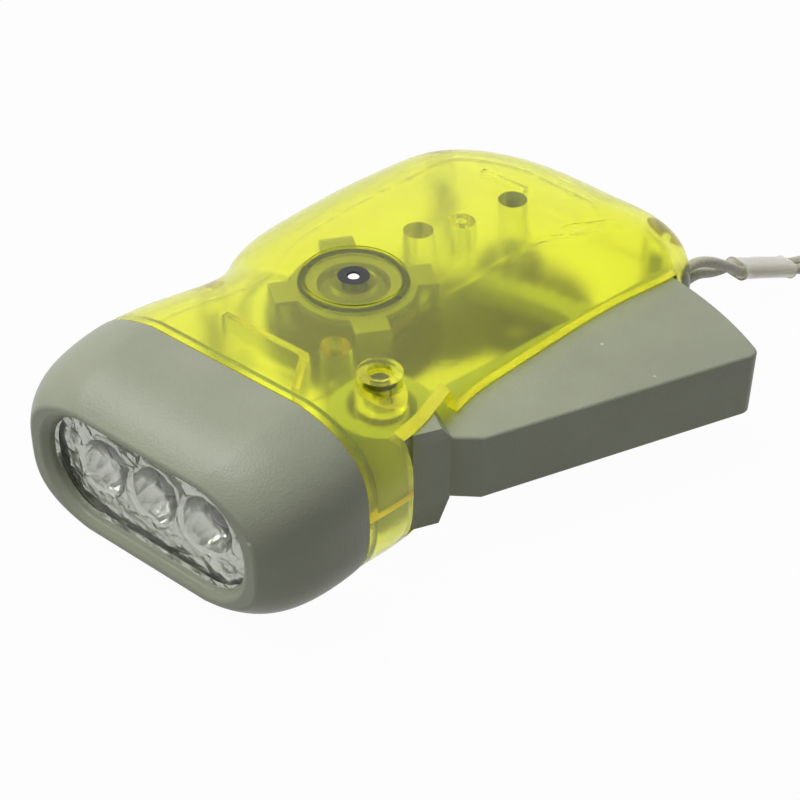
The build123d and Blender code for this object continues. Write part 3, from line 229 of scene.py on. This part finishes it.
def grey_plastic():
    """Satin grey moulded plastic with a fine grain, faint clouds of handling and a few small pale scuffs."""
    material, tree, shader = new_material("grey_plastic", GREY, 0.4, Specular_IOR_Level=0.3)
    cloud = object_noise(tree, 70.0, 4.0)
    tone = add_tone(tree, shader, cloud.outputs["Fac"], scaled(GREY, 0.94), scaled(GREY, 1.05))
    place = tree.nodes.new("ShaderNodeTexCoord")
    cells = tree.nodes.new("ShaderNodeTexVoronoi")
    cells.inputs["Scale"].default_value = 75.0
    tree.links.new(place.outputs["Object"], cells.inputs["Vector"])
    speck = tree.nodes.new("ShaderNodeMapRange")
    speck.inputs["From Min"].default_value = 0.018
    speck.inputs["From Max"].default_value = 0.03
    speck.inputs["To Min"].default_value = 0.45
    speck.inputs["To Max"].default_value = 0.0
    tree.links.new(cells.outputs["Distance"], speck.inputs["Value"])
    scuffed = tree.nodes.new("ShaderNodeMix")
    scuffed.data_type = "RGBA"
    scuffed.inputs["B"].default_value = SCUFF
    tree.links.new(speck.outputs["Result"], scuffed.inputs["Factor"])
    tree.links.new(tone.outputs["Color"], scuffed.inputs["A"])
    tree.links.new(scuffed.outputs["Result"], shader.inputs["Base Color"])
    grain = object_noise(tree, 2600.0, 2.0)
    add_bump(tree, shader, grain.outputs["Fac"], 0.6, 0.0001)
    rough = tree.nodes.new("ShaderNodeMapRange")
    rough.inputs["To Min"].default_value = 0.32
    rough.inputs["To Max"].default_value = 0.46
    tree.links.new(cloud.outputs["Fac"], rough.inputs["Value"])
    tree.links.new(rough.outputs["Result"], shader.inputs["Roughness"])
    return material


def let_lamps_through(tree, shader, colour):
    """Mixes in a tinted film for rays from lamps, so that they reach what is behind the clear plastic."""
    film = tree.nodes.new("ShaderNodeBsdfTransparent")
    film.inputs["Color"].default_value = colour
    rays = tree.nodes.new("ShaderNodeLightPath")
    mix = tree.nodes.new("ShaderNodeMixShader")
    tree.links.new(rays.outputs["Is Shadow Ray"], mix.inputs["Fac"])
    tree.links.new(shader.outputs[0], mix.inputs[1])
    tree.links.new(film.outputs[0], mix.inputs[2])
    tree.links.new(mix.outputs[0], tree.nodes["Material Output"].inputs["Surface"])


def shell_plastic():
    """See-through fluorescent yellow-green plastic, faintly frosted, its reflections kept low, with a faint
    painted glow in its emission.
    """
    material, tree, shader = new_material(
        "shell_plastic", SHELL, 0.22, IOR=1.45, Transmission_Weight=0.96, Specular_IOR_Level=0.1,
        Coat_Weight=0.05, Coat_Roughness=0.06, Emission_Color=SHELL_PAINTED_GLOW, Emission_Strength=0.012)
    cloud = object_noise(tree, 45.0, 3.0)
    add_tone(tree, shader, cloud.outputs["Fac"], scaled(SHELL, 0.97), SHELL)
    ripple = object_noise(tree, 160.0, 2.0)
    add_bump(tree, shader, ripple.outputs["Fac"], 0.05, 0.0003)
    let_lamps_through(tree, shader, SHELL_FILM)
    return material


def shell_edge_painted_glow():
    """A cut edge of the same plastic, with a painted glow in its orange tones and emission for the light that
    it gathers and lets out there.
    """
    material, tree, shader = new_material(
        "shell_edge_painted_glow", CUT, 0.25, IOR=1.45, Transmission_Weight=0.6, Emission_Color=CUT_PAINTED_GLOW,
        Emission_Strength=0.06)
    cloud = object_noise(tree, 120.0, 3.0)
    add_tone(tree, shader, cloud.outputs["Fac"], CUT_DARK, CUT_LIGHT)
    ripple = object_noise(tree, 600.0, 2.0)
    add_bump(tree, shader, ripple.outputs["Fac"], 0.06, 0.0001)
    let_lamps_through(tree, shader, SHELL_FILM)
    return material


def clear_plastic():
    """The window's clear plastic, its IOR below the real one so that the lamps behind it show."""
    material, tree, shader = new_material("clear_plastic", WINDOW, 0.05, IOR=1.2, Transmission_Weight=1.0)
    ripple = object_noise(tree, 300.0, 2.0)
    add_bump(tree, shader, ripple.outputs["Fac"], 0.04, 0.0002)
    let_lamps_through(tree, shader, WINDOW_FILM)
    return material


def lamp_resin():
    """The lamps' clear resin."""
    material, tree, shader = new_material("lamp_resin", RESIN, 0.08, IOR=1.35, Transmission_Weight=0.8)
    ripple = object_noise(tree, 500.0, 2.0)
    add_bump(tree, shader, ripple.outputs["Fac"], 0.05, 0.0001)
    let_lamps_through(tree, shader, RESIN_FILM)
    return material


def crinkled_metal():
    """The reflector's bright plating, faceted like crumpled foil."""
    material, tree, shader = new_material("crinkled_metal", FOIL, 0.22, Metallic=0.85)
    place = tree.nodes.new("ShaderNodeTexCoord")
    cells = tree.nodes.new("ShaderNodeTexVoronoi")
    cells.inputs["Scale"].default_value = 900.0
    tree.links.new(place.outputs["Object"], cells.inputs["Vector"])
    add_bump(tree, shader, cells.outputs["Distance"], 0.35, 0.0003)
    return material


def metal(name, colour, roughness, grain=1200.0):
    """A turned or rolled metal with a fine grain."""
    material, tree, shader = new_material(name, colour, roughness, Metallic=1.0)
    streaks = object_noise(tree, grain, 4.0)
    add_tone(tree, shader, streaks.outputs["Fac"], scaled(colour, 0.85), colour)
    add_bump(tree, shader, streaks.outputs["Fac"], 0.12, 0.00005)
    return material


def plain_plastic(name, colour, roughness):
    """Moulded plastic of the inner pieces."""
    material, tree, shader = new_material(name, colour, roughness)
    cloud = object_noise(tree, 400.0, 3.0)
    add_tone(tree, shader, cloud.outputs["Fac"], scaled(colour, 0.9), colour)
    add_bump(tree, shader, cloud.outputs["Fac"], 0.1, 0.00008)
    return material


def braid_cloth():
    """Silver grey braid: the strands' relief is in the mesh, and the yarn's fine grain here."""
    material, tree, shader = new_material("braid_cloth", BRAID, 0.55, Sheen_Weight=0.3)
    yarn = object_noise(tree, 2600.0, 3.0, 0.6)
    add_tone(tree, shader, yarn.outputs["Fac"], scaled(BRAID, 0.7), scaled(BRAID, 1.15))
    add_bump(tree, shader, yarn.outputs["Fac"], 0.3, 0.0001)
    return material


def sleeve_plastic():
    """The cord sleeve's cloudy clear plastic."""
    material, tree, shader = new_material("sleeve_plastic", SLEEVE, 0.24, IOR=1.35, Transmission_Weight=0.7,
                                          Coat_Weight=0.5)
    cloud = object_noise(tree, 500.0, 3.0)
    add_bump(tree, shader, cloud.outputs["Fac"], 0.15, 0.0002)
    return material


# ---- pieces from the frame
def deselect():
    """Clears the selection."""
    for thing in bpy.context.selected_objects:
        thing.select_set(False)


def make_active(thing):
    """Only this object selected, and active."""
    deselect()
    thing.select_set(True)
    bpy.context.view_layer.objects.active = thing


def smooth_skin(node, body, material, angle=SKIN_SMOOTH):
    """A piece with the node's own shape, its facets welded and smoothed up to an angle."""
    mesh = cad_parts[node].data.copy()
    mesh.materials.clear()
    skin = bpy.data.objects.new(node + "_skin", mesh)
    bpy.context.scene.collection.objects.link(skin)
    make_active(skin)
    bpy.ops.object.mode_set(mode="EDIT")
    bpy.ops.mesh.select_all(action="SELECT")
    bpy.ops.mesh.remove_doubles(threshold=SKIN_WELD)
    bpy.ops.mesh.dissolve_limited(angle_limit=math.radians(SKIN_FLAT))
    bpy.ops.mesh.customdata_custom_splitnormals_clear()
    bpy.ops.object.mode_set(mode="OBJECT")
    bpy.ops.object.shade_smooth_by_angle(angle=math.radians(angle))
    mesh.materials.append(material)
    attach(skin, body)
    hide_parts(node)
    return skin


def soften_edges(skin, width, angle):
    """Rounds a moulding's edges a little, so that they catch the light."""
    make_active(skin)
    edge = skin.modifiers.new("edge", "BEVEL")
    edge.width = width * MM
    edge.segments = EDGE_STEPS
    edge.limit_method = "ANGLE"
    edge.angle_limit = math.radians(angle)
    edge.use_clamp_overlap = True
    bpy.ops.object.modifier_apply(modifier=edge.name)
    shade = skin.modifiers.new("shade", "WEIGHTED_NORMAL")
    shade.keep_sharp = True
    bpy.ops.object.modifier_apply(modifier=shade.name)


def dress(node, material):
    """Gives a node of the frame its finish."""
    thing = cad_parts[node]
    thing.data.materials.clear()
    thing.data.materials.append(material)


def crumpled_reflector(material):
    """The reflector with the small flat facets of crumpled bright foil."""
    skin = smooth_skin("reflector", "casing", material)
    make_active(skin)
    grid = skin.modifiers.new("grid", "REMESH")
    grid.mode = "VOXEL"
    grid.voxel_size = FOIL_GRID * MM
    bpy.ops.object.modifier_apply(modifier=grid.name)
    for vertex in skin.data.vertices:
        spot = vertex.co / (FOIL_CRUMPLE * MM)
        ridge = abs(noise.noise(spot)) + FINE_SHARE * abs(noise.noise(spot * FINE_CRUMPLE))
        vertex.co.x += (ridge - FOIL_LEVEL) * FOIL_DEPTH * MM
    facets = skin.modifiers.new("facets", "DECIMATE")
    facets.ratio = FOIL_FACETS
    bpy.ops.object.modifier_apply(modifier=facets.name)
    for face in skin.data.polygons:
        face.use_smooth = False
    skin.data.materials.clear()
    skin.data.materials.append(material)


def glow_at_cuts(skin, edge_material):
    """Gives the shell's cut edges, where it meets the head, the lever and the other half, a painted glow."""
    skin.data.materials.append(edge_material)
    for face in skin.data.polygons:
        height = abs(face.center.z / MM - MID_HEIGHT)
        flat = abs(face.normal.z) > CUT_FLAT
        seam = face.normal.x > CUT_FLAT and abs(face.center.x - SEAM_X * MM) < CUT_NEAR * MM
        ledge = flat and any(abs(height - cut) < CUT_NEAR for cut in CUT_HEIGHTS)
        if seam or ledge:
            face.material_index = 1


# ---- wrist cord
def polar(centre, radius, angle):
    """A plan point at an angle in degrees round a centre."""
    turn = math.radians(angle)
    return (centre[0] + radius * math.cos(turn), centre[1] + radius * math.sin(turn))


def beside(x, y, heading, aside):
    """A plan point moved to the right of a heading."""
    return polar((x, y), aside, heading - 90)


def along_sleeve(share, aside, lift=0.0):
    """A point on a line beside the sleeve's axis."""
    x, y, z = (a + share * (b - a) for a, b in zip(SLEEVE_START, SLEEVE_END))
    return (*beside(x, y, SLEEVE_HEADING, aside), z + lift)


def strand_route(route, side):
    """One strand's control points, from the tail to the coil."""
    half = side * SLEEVE_STEP / 2
    spread = side * STRAND_STEP / 2
    points = list(route)
    points += [along_sleeve(-SLEEVE_OVERRUN, half), along_sleeve(0.5, half, STRAND_LIFT),
               along_sleeve(1 + SLEEVE_OVERRUN, half)]
    points += [(*beside(x, y, heading, spread), CORD_FLOOR) for x, y, heading in FLOOR_BENDS]
    last = beside(*COIL_ENTRY, COIL_HEADING, spread)
    points += [(*polar(last, -COIL_LEAD, COIL_HEADING), CORD_FLOOR), (*last, CORD_FLOOR)]
    return points


def coil_place(across, ahead):
    """A plan point of the coil, counted from its middle."""
    middle = beside(*COIL_ENTRY, COIL_HEADING, 2 * COIL_LOBE_RADIUS + 2.5 * STRAND_STEP)
    x, y = beside(*middle, COIL_HEADING, -across)
    return polar((x, y), ahead, COIL_HEADING)


def coil_route():
    """Control points of the coil's half turns, from the upper strand's end to the lower's."""
    near = 2 * COIL_LOBE_RADIUS
    step = STRAND_STEP
    rows = [(step / 2, near + 1.5 * step, 1), (-step / 2, near + 0.5 * step, -1),
            (COIL_LOBE_RADIUS, COIL_LOBE_RADIUS, 1), (-COIL_LOBE_RADIUS, COIL_LOBE_RADIUS, -1),
            (step / 2, near + 0.5 * step, 1), (-step / 2, near + 1.5 * step, -1),
            (step / 2, near + 2.5 * step, 1)]
    points = []
    across = rows[0][0] + rows[0][1]
    outwards = 1 / math.cos(math.pi / (2 * COIL_POINTS))
    for centre, radius, side in rows:
        start = 0.0 if across > centre else math.pi
        turn = 1 if (across > centre) == (side > 0) else -1
        for i in range(COIL_POINTS):
            angle = start + turn * math.pi * (i + 0.5) / COIL_POINTS
            across_spot = centre + radius * outwards * math.cos(angle)
            ahead_spot = radius * outwards * math.sin(angle)
            points.append((*coil_place(across_spot, ahead_spot), CORD_FLOOR))
        across = 2 * centre - across
    return points


def cord_line():
    """Points read from the cord's NURBS spline, in metres."""
    going = strand_route(CORD_UPPER_ROUTE, 1)[:-1]
    coming_back = strand_route(CORD_LOWER_ROUTE, -1)[-2::-1]
    route = going + coil_route() + coming_back
    curve = bpy.data.curves.new("cord_route", "CURVE")
    curve.dimensions = "3D"
    curve.resolution_u = ROUTE_STEPS
    spline = curve.splines.new("NURBS")
    spline.points.add(len(route) - 1)
    for point, place in zip(spline.points, route):
        point.co = (place[0] * MM, place[1] * MM, place[2] * MM, 1)
    spline.order_u = 3
    spline.use_endpoint_u = True
    holder = bpy.data.objects.new("cord_route", curve)
    bpy.context.scene.collection.objects.link(holder)
    bpy.context.view_layer.update()
    mesh = bpy.data.meshes.new_from_object(holder.evaluated_get(bpy.context.evaluated_depsgraph_get()))
    line = [vertex.co.copy() for vertex in mesh.vertices]
    bpy.data.objects.remove(holder)
    return line


def even_line(line, step):
    """The same line with points at even steps."""
    spots = [line[0]]
    carried = 0.0
    for start, end in zip(line, line[1:]):
        run = (end - start).length
        while carried + run >= step:
            share = (step - carried) / run
            start = start.lerp(end, share)
            run = (end - start).length
            carried = 0.0
            spots.append(start.copy())
        carried += run
    spots.append(line[-1])
    return spots


def braid_height(turn, along):
    """The braid's relief: two families of strands, each over and under the other."""
    swing = 2 * math.pi * along / BRAID_PITCH
    left = math.cos(BRAID_CARRIERS * (turn + swing) / 2) ** 2
    right = math.cos(BRAID_CARRIERS * (turn - swing) / 2) ** 2
    over = 0.5 + 0.5 * math.sin(BRAID_CARRIERS * turn) * math.sin(BRAID_CARRIERS * swing)
    return max(left * (0.55 + 0.45 * over), right * (1.0 - 0.45 * over))


def make_sleeve(material):
    """The sleeve round both strands: the node's shape, its mouths flared and its middle lifted a little."""
    sleeve = smooth_skin("strap_sleeve", "casing", material, SLEEVE_SMOOTH)
    start, end = Vector(SLEEVE_START) * MM, Vector(SLEEVE_END) * MM
    axis = end - start
    make_active(sleeve)
    bpy.ops.object.mode_set(mode="EDIT")
    for i in range(1, SLEEVE_RINGS):
        bpy.ops.mesh.select_all(action="SELECT")
        bpy.ops.mesh.bisect(plane_co=start + axis * i / SLEEVE_RINGS, plane_no=axis.normalized())
    bpy.ops.object.mode_set(mode="OBJECT")
    for vertex in sleeve.data.vertices:
        share = (vertex.co - start).dot(axis) / axis.length_squared
        middle = start + axis * share
        mouth = max(0.0, 1 - min(share, 1 - share) * SLEEVE_RINGS / 2) ** 2
        vertex.co = middle + (vertex.co - middle) * (1 + SLEEVE_FLARE * mouth)
        vertex.co.z += SLEEVE_LIFT * MM * math.sin(math.pi * min(max(share, 0), 1))
    return sleeve


def make_cord(material, sleeve):
    """The braided cord as one tube along its line, with the braid's relief in its mesh."""
    line = even_line(cord_line(), BRAID_STEP * MM)
    mesh = bpy.data.meshes.new("wrist_cord")
    shape = bmesh.new()
    rings = []
    side = Vector((0, 0, 1))
    for i, spot in enumerate(line):
        ahead = (line[min(i + 1, len(line) - 1)] - line[max(i - 1, 0)]).normalized()
        side = (side - ahead * side.dot(ahead)).normalized()
        other = ahead.cross(side)
        ring = []
        for k in range(BRAID_ROUND):
            turn = 2 * math.pi * k / BRAID_ROUND
            height = braid_height(turn, i * BRAID_STEP)
            radius = (CORD_RADIUS - BRAID_DEPTH * (1 - height)) * MM
            ring.append(shape.verts.new(spot + radius * (math.cos(turn) * side + math.sin(turn) * other)))
        rings.append(ring)
    for one, two in zip(rings, rings[1:]):
        for k in range(BRAID_ROUND):
            after = (k + 1) % BRAID_ROUND
            shape.faces.new((one[k], one[after], two[after], two[k]))
    shape.faces.new(list(reversed(rings[0])))
    shape.faces.new(rings[-1])
    bmesh.ops.recalc_face_normals(shape, faces=shape.faces)
    shape.to_mesh(mesh)
    shape.free()
    for face in mesh.polygons:
        face.use_smooth = True
    cord = bpy.data.objects.new("wrist_cord", mesh)
    bpy.context.scene.collection.objects.link(cord)
    mesh.materials.append(material)
    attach(cord, "casing")
    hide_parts("wrist_cord_upper", "wrist_cord_lower", "wrist_cord_coil")


# ---- stage and light
def looking_rays(tree):
    """One for a camera, glossy or transmission ray: gloss and clear plastic show the white background too."""
    rays = tree.nodes.new("ShaderNodeLightPath")
    either = tree.nodes.new("ShaderNodeMath")
    either.operation = "MAXIMUM"
    any_of = tree.nodes.new("ShaderNodeMath")
    any_of.operation = "MAXIMUM"
    tree.links.new(rays.outputs["Is Camera Ray"], either.inputs[0])
    tree.links.new(rays.outputs["Is Glossy Ray"], either.inputs[1])
    tree.links.new(either.outputs[0], any_of.inputs[0])
    tree.links.new(rays.outputs["Is Transmission Ray"], any_of.inputs[1])
    return any_of.outputs[0]


def make_stage():
    """A plain floor, near white to camera, glossy and transmission rays, that keeps a faint shadow."""
    bpy.ops.mesh.primitive_plane_add(size=FLOOR_SIZE, location=(0, 0, FLOOR_HEIGHT))
    floor = bpy.context.active_object
    floor.name = "floor"
    material = bpy.data.materials.new("floor_paper")
    material.use_nodes = True
    tree = material.node_tree
    shader = tree.nodes["Principled BSDF"]
    shader.inputs["Base Color"].default_value = FLOOR
    shader.inputs["Roughness"].default_value = 0.9
    shader.inputs["Specular IOR Level"].default_value = 0.0
    light = tree.nodes.new("ShaderNodeEmission")
    light.inputs["Strength"].default_value = 1.0
    share = tree.nodes.new("ShaderNodeMath")
    share.operation = "MULTIPLY"
    share.inputs[1].default_value = FLOOR_SHARE
    tree.links.new(looking_rays(tree), share.inputs[0])
    mix = tree.nodes.new("ShaderNodeMixShader")
    tree.links.new(share.outputs[0], mix.inputs["Fac"])
    tree.links.new(shader.outputs[0], mix.inputs[1])
    tree.links.new(light.outputs[0], mix.inputs[2])
    tree.links.new(mix.outputs[0], tree.nodes["Material Output"].inputs["Surface"])
    floor.data.materials.append(material)


def make_world():
    """White to camera, glossy and transmission rays, a softer white as light."""
    world = bpy.data.worlds.new("world")
    world.use_nodes = True
    bpy.context.scene.world = world
    tree = world.node_tree
    soft = tree.nodes["Background"]
    soft.inputs["Color"].default_value = WHITE
    soft.inputs["Strength"].default_value = WORLD_LIGHT
    white = tree.nodes.new("ShaderNodeBackground")
    white.inputs["Color"].default_value = WHITE
    white.inputs["Strength"].default_value = 1.0
    mix = tree.nodes.new("ShaderNodeMixShader")
    tree.links.new(looking_rays(tree), mix.inputs["Fac"])
    tree.links.new(soft.outputs[0], mix.inputs[1])
    tree.links.new(white.outputs[0], mix.inputs[2])
    tree.links.new(mix.outputs[0], tree.nodes["World Output"].inputs["Surface"])


def add_lamp(name, place, target, size, power):
    """A soft square lamp that faces a target."""
    data = bpy.data.lights.new(name, "AREA")
    data.size = size
    data.energy = power
    lamp = bpy.data.objects.new(name, data)
    bpy.context.scene.collection.objects.link(lamp)
    lamp.location = place
    lamp.rotation_euler = (Vector(target) - Vector(place)).to_track_quat("-Z", "Y").to_euler()


# ---- the torch
make_camera()
make_cord(braid_cloth(), make_sleeve(sleeve_plastic()))

grey = grey_plastic()
shell = shell_plastic()
cut_edge = shell_edge_painted_glow()
for name in ("upper_shell", "lower_shell"):
    glow_at_cuts(smooth_skin(name, "casing", shell), cut_edge)
soften_edges(smooth_skin("head_bezel", "casing", grey), BEZEL_EDGE, EDGE_ANGLE)
soften_edges(smooth_skin("squeeze_lever", "lever", grey), LEVER_EDGE, EDGE_ANGLE)
smooth_skin("front_lens", "casing", clear_plastic())
crumpled_reflector(crinkled_metal())
resin = lamp_resin()
for name in ("led_left", "led_centre", "led_right"):
    smooth_skin(name, "casing", resin)
dress("strap_anchor", grey)

steel = metal("steel", STEEL, 0.28)
for name in ("lever_pivot_pin", "lever_return_spring", "drive_axle", "idler_axle", "case_screws"):
    dress(name, steel)
dress("rotor_shaft", metal("ground_steel", GROUND_STEEL, 0.6))
zinc = metal("zinc_sheet", ZINC, 0.5)
for name in ("upper_yoke", "lower_yoke"):
    dress(name, zinc)
dress("coil_winding", metal("copper_wire", COPPER, 0.4, 3000.0))
black = plain_plastic("black_plastic", BLACK, 0.5)
for name in ("coil_bobbin", "magnet_seat", "top_bush", "bottom_bush"):
    dress(name, black)
dress("flywheel", metal("blackened_iron", IRON, 0.55))
dress("rotor_magnet", metal("sintered_magnet", MAGNET, 0.6))
gear_plastic = plain_plastic("gear_plastic", GEARS, 0.45)
for name in ("rack_pinion", "drive_wheel", "idler_gear", "rotor_pinion"):
    dress(name, gear_plastic)
dress("lamp_board", plain_plastic("board_laminate", BOARD, 0.4))
insulation = plain_plastic("wire_insulation", INSULATION, 0.35)
for name in ("lamp_lead_left", "lamp_lead_right"):
    dress(name, insulation)

make_stage()
make_world()
add_lamp("key_lamp", KEY_PLACE, KEY_TARGET, KEY_SIZE, KEY_POWER)
bpy.context.scene.view_settings.view_transform = "Standard"
